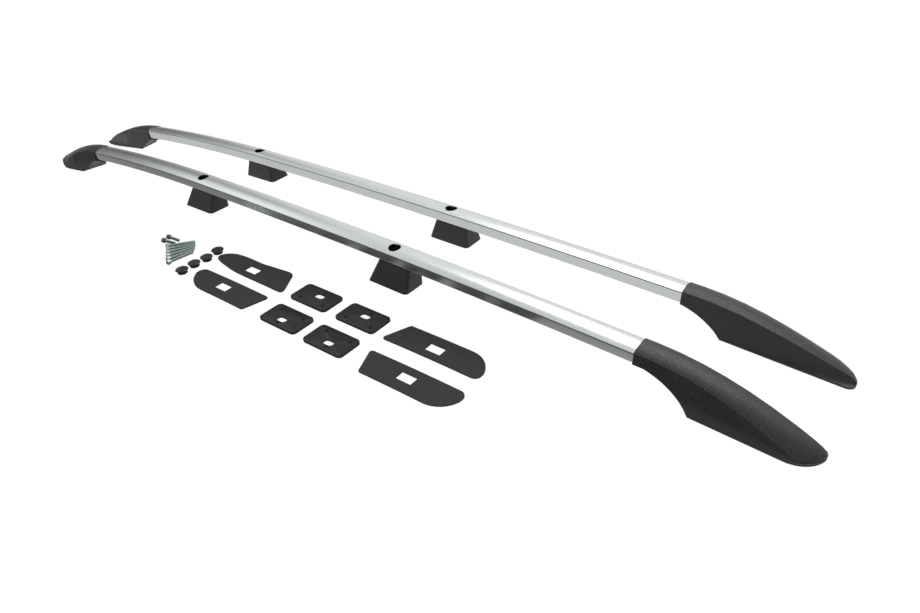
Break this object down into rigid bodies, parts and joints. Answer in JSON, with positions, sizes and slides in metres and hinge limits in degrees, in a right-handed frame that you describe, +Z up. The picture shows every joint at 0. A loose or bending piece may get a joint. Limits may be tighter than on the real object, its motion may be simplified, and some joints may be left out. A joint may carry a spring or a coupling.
{
  "type": "roof side rail pair",
  "caption": "Pair of arched aluminium roof side rails on moulded feet, with the seals, plugs and bolts of the fitting kit laid out beside them.",
  "frame": {"origin": "on the floor under the crown line of the right-hand rail, midway along it", "axes": "+X along the right-hand rail to the front of the car, +Y from the right-hand rail to the left-hand rail, +Z up"},
  "size_m": [1.8568, 0.4024, 0.1014],
  "materials": {
    "anodised_rail": "satin anodised extrusion, silver",
    "black_moulding": "fine-grained injection moulding, black",
    "black_rubber": "moulded sealing rubber, matt black",
    "black_plug": "soft moulded plug, black",
    "zinc_steel": "bright zinc plate on steel",
    "black_steel": "dark phosphate on steel",
    "brass_insert": "turned brass, plain"
  },
  "bodies": {
    "root": {"hole_plug_1": "black_plug", "hole_plug_2": "black_plug", "hole_plug_3": "black_plug", "hole_plug_4": "black_plug", "left_foot_screws": "zinc_steel", "left_front_foot": "black_moulding", "left_front_gasket": "black_rubber", "left_front_insert": "brass_insert", "left_front_mid_foot": "black_moulding", "left_front_mid_gasket": "black_rubber", "left_front_sleeve": "zinc_steel", "left_rail": "anodised_rail", "left_rear_foot": "black_moulding", "left_rear_gasket": "black_rubber", "left_rear_insert": "brass_insert", "left_rear_mid_foot": "black_moulding", "left_rear_mid_gasket": "black_rubber", "left_rear_sleeve": "zinc_steel", "long_bolts": "zinc_steel", "right_foot_screws": "zinc_steel", "right_front_foot": "black_moulding", "right_front_gasket": "black_rubber", "right_front_insert": "brass_insert", "right_front_mid_foot": "black_moulding", "right_front_mid_gasket": "black_rubber", "right_front_sleeve": "zinc_steel", "right_rail": "anodised_rail", "right_rear_foot": "black_moulding", "right_rear_gasket": "black_rubber", "right_rear_insert": "brass_insert", "right_rear_mid_foot": "black_moulding", "right_rear_mid_gasket": "black_rubber", "right_rear_sleeve": "zinc_steel", "short_bolts": "black_steel"}
  },
  "joints": []
}
